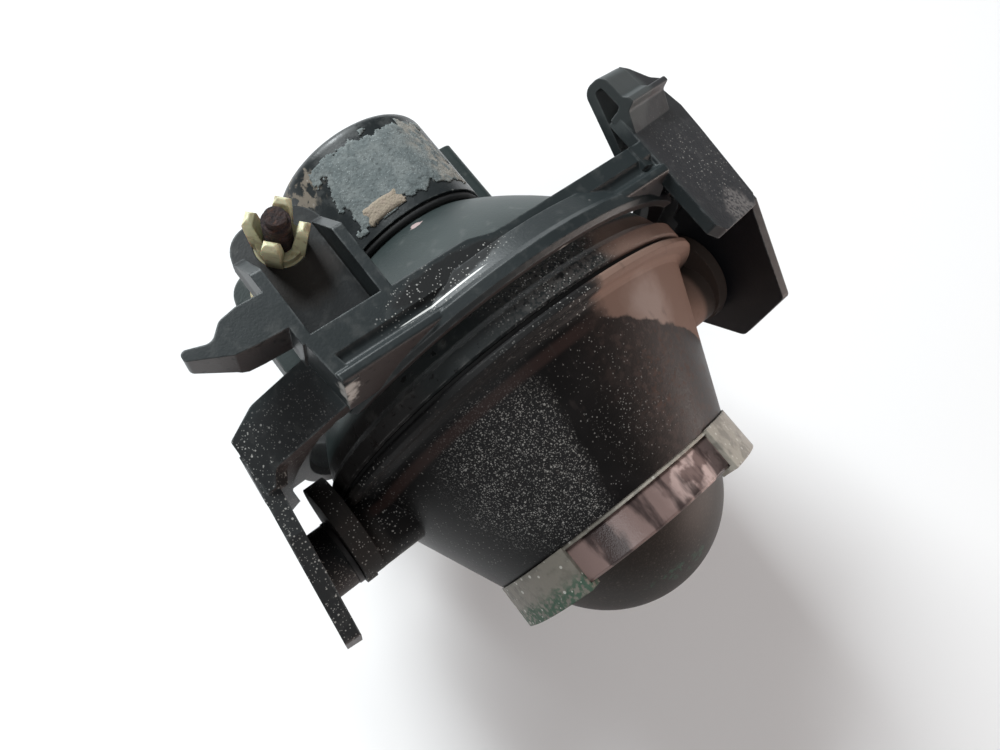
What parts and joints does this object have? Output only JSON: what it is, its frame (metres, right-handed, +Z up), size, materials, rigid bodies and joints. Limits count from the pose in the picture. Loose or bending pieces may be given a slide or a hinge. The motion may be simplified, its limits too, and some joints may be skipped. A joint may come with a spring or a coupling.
{
  "type": "projector fog light",
  "caption": "Round projector fog light in a bumper bracket: tilts on side pivots by an aim screw, with a twist-off rear cap over its halogen bulb.",
  "frame": {"origin": "point where the optical axis crosses the front plane of the bracket", "axes": "-Y the way the lens faces, +Z up, +X towards the side with the spring clip"},
  "size_m": [0.12, 0.1231, 0.1048],
  "materials": {
    "bracket_plastic": "glass-filled moulded plastic, satin, dusty",
    "housing_plastic": "moulded plastic, satin",
    "cone_plastic": "moulded plastic with road film",
    "cap_plastic": "moulded plastic, satin",
    "lens_glass": "pressed glass, sandblasted by road grit",
    "retainer_plastic": "light grey plastic, aged",
    "rubber_black": "moulded rubber",
    "nylon_cream": "aged natural nylon",
    "bush_plastic": "dark nylon",
    "steel_rusty": "rusty steel",
    "steel_zinc": "zinc-plated steel",
    "mirror_coat": "vacuum-metallised",
    "quartz": "clear quartz",
    "tungsten": "dull metal",
    "brass_contact": "tinned brass",
    "wire_insulation": "smooth PVC"
  },
  "bodies": {
    "bracket": {"bracket": "bracket_plastic", "adjuster_nut": "nylon_cream", "pivot_bush_left": "bush_plastic", "pivot_bush_right": "bush_plastic"},
    "lamp": {"cone_shroud": "cone_plastic", "lens": "lens_glass", "lens_retainer": "retainer_plastic", "lens_seal": "rubber_black", "seam_gasket": "rubber_black", "rear_housing": "housing_plastic", "breather_cap": "rubber_black", "cap_seal": "rubber_black", "cutoff_shield": "steel_zinc", "reflector": "mirror_coat", "optic_screws": "steel_zinc", "bulb_glass": "quartz", "bulb_filament": "tungsten", "bulb_base": "steel_zinc", "bulb_clip": "steel_zinc", "bulb_plug": "bush_plastic", "bulb_wires": "wire_insulation", "connector_terminals": "brass_contact", "pivot_pin_left": "steel_zinc", "pivot_pin_right": "steel_zinc"},
    "cap": {"rear_cap": "cap_plastic"},
    "slider": {"adjuster_slider": "nylon_cream"},
    "screw": {"adjuster_screw": "steel_rusty"}
  },
  "joints": [
    {"name": "lamp_tilt", "type": "hinge", "parent": "bracket", "child": "lamp", "pos_m": [0, -0.0162, 0.005], "axis": [1, 0, 0], "range_deg": [-3, 3]},
    {"name": "slider_travel", "type": "slide", "parent": "bracket", "child": "slider", "axis": [0, 0, 1], "range_m": [-0.0025, 0.0025]},
    {"name": "screw_turn", "type": "hinge", "parent": "slider", "child": "screw", "pos_m": [-0.0339, 0.03, 0.03], "axis": [0, 0, 1], "range_deg": [-440, 440]},
    {"name": "cap_twist", "type": "hinge", "parent": "lamp", "child": "cap", "pos_m": [0, 0.045, 0], "axis": [0, 1, 0], "range_deg": [0, 36]}
  ],
  "couplings": [
    {"joint": "slider_travel", "follows": "lamp_tilt", "m_per_rad": 0.0462},
    {"joint": "screw_turn", "follows": "lamp_tilt", "ratio": 145.14}
  ]
}
